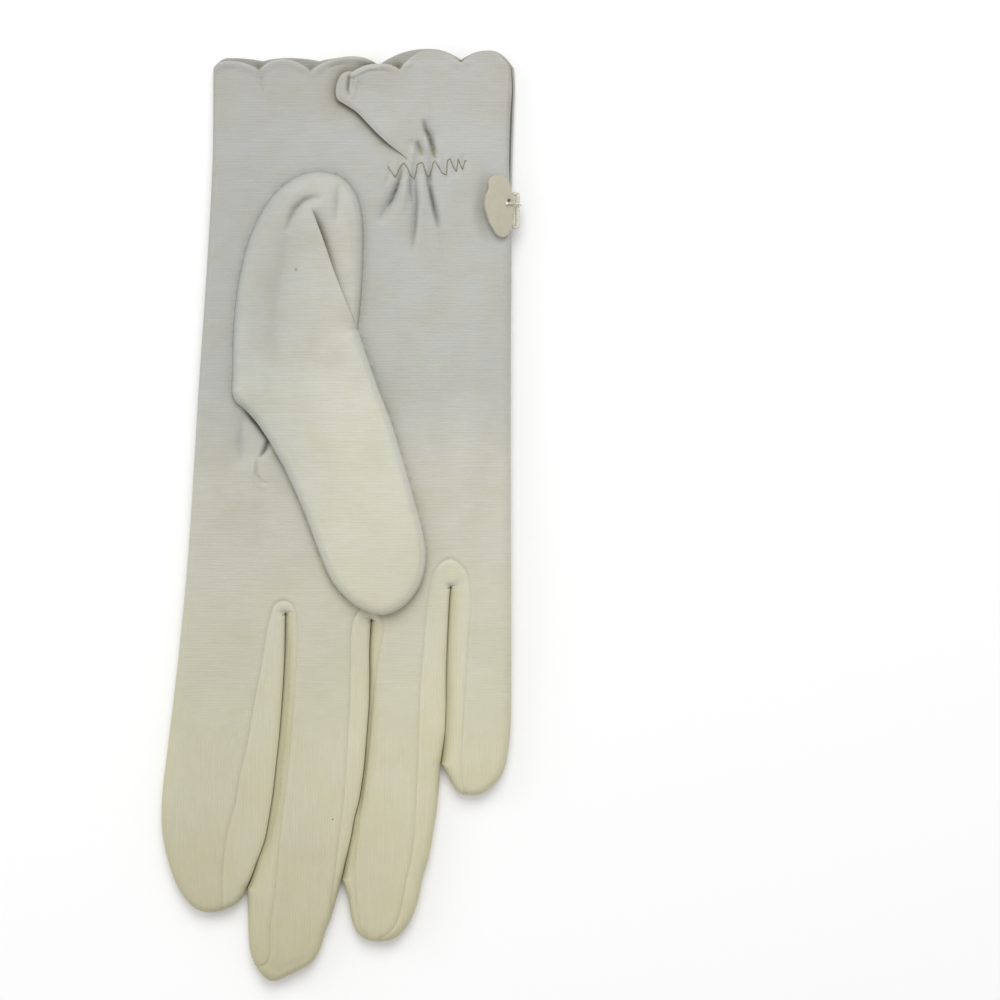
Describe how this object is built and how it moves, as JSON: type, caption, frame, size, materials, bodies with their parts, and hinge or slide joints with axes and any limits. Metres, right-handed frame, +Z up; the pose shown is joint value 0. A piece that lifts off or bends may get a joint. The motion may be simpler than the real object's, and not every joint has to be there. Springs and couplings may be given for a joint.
{
  "type": "nylon glove",
  "caption": "Wrist-length dress glove in knitted nylon, lying on its back with the thumb folded over the palm, with a scalloped cuff and a button at the vent.",
  "frame": {"origin": "on the surface below, at the centre of the glove's box", "axes": "+Y from the fingertips to the cuff, +Z up out of the palm, +X towards the little finger"},
  "size_m": [0.0904, 0.2343, 0.0115],
  "materials": {
    "palm_cloth": "fine knitted nylon, greyish ivory",
    "thumb_cloth": "fine knitted nylon, warm cream",
    "finger_cloth": "fine knitted nylon, warm cream",
    "button_plastic": "yellowed cream plastic",
    "cord": "cream thread"
  },
  "bodies": {
    "root": {"trank": "palm_cloth", "thumb": "thumb_cloth", "fourchette_index_middle": "finger_cloth", "fourchette_middle_ring": "finger_cloth", "fourchette_ring_little": "finger_cloth", "button": "button_plastic", "button_loop": "cord", "button_thread": "cord"}
  },
  "joints": []
}
